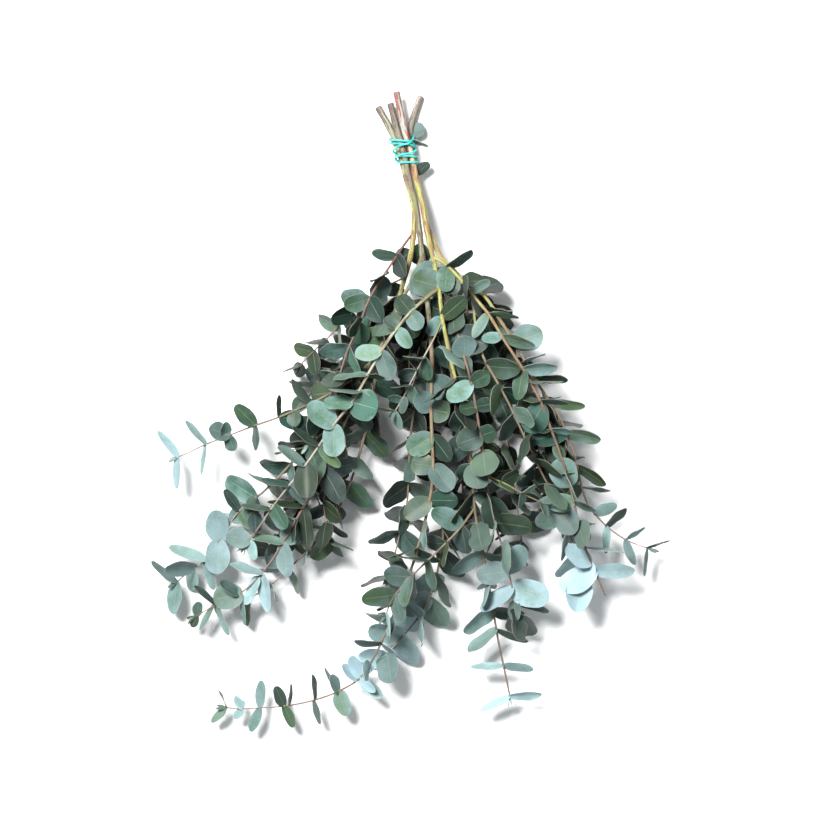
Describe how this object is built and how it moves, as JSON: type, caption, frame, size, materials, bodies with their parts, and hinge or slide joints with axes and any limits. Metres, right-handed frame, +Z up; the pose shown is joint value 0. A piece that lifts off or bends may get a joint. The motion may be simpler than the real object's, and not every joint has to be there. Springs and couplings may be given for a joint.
{
  "type": "eucalyptus foliage bunch",
  "caption": "Bunch of cut eucalyptus branches with round blue-green leaves in crossed pairs, tied near the cut ends with a turquoise rubber band, lying flat.",
  "frame": {"origin": "centre of the lowest level of the bunch's box, on the table that it lies on", "axes": "+Y from the leafy tips towards the cut ends, +Z up from the table, +X to the right as seen from above with the cut ends away"},
  "size_m": [0.5164, 0.6398, 0.1039],
  "materials": {
    "foliage_outer_left": "waxy blue-green leaves on brown and yellow-green stems",
    "foliage_inner_left": "waxy blue-green leaves on brown and yellow-green stems",
    "foliage_centre": "waxy pale blue-green leaves on pale and rosy stems",
    "foliage_right": "waxy grey-green leaves on brown stems",
    "tie": "smooth turquoise rubber"
  },
  "bodies": {
    "root": {"branch_outer_left": "foliage_outer_left", "branch_inner_left": "foliage_inner_left", "branch_centre": "foliage_centre", "branch_right": "foliage_right", "tie": "tie"}
  },
  "joints": []
}
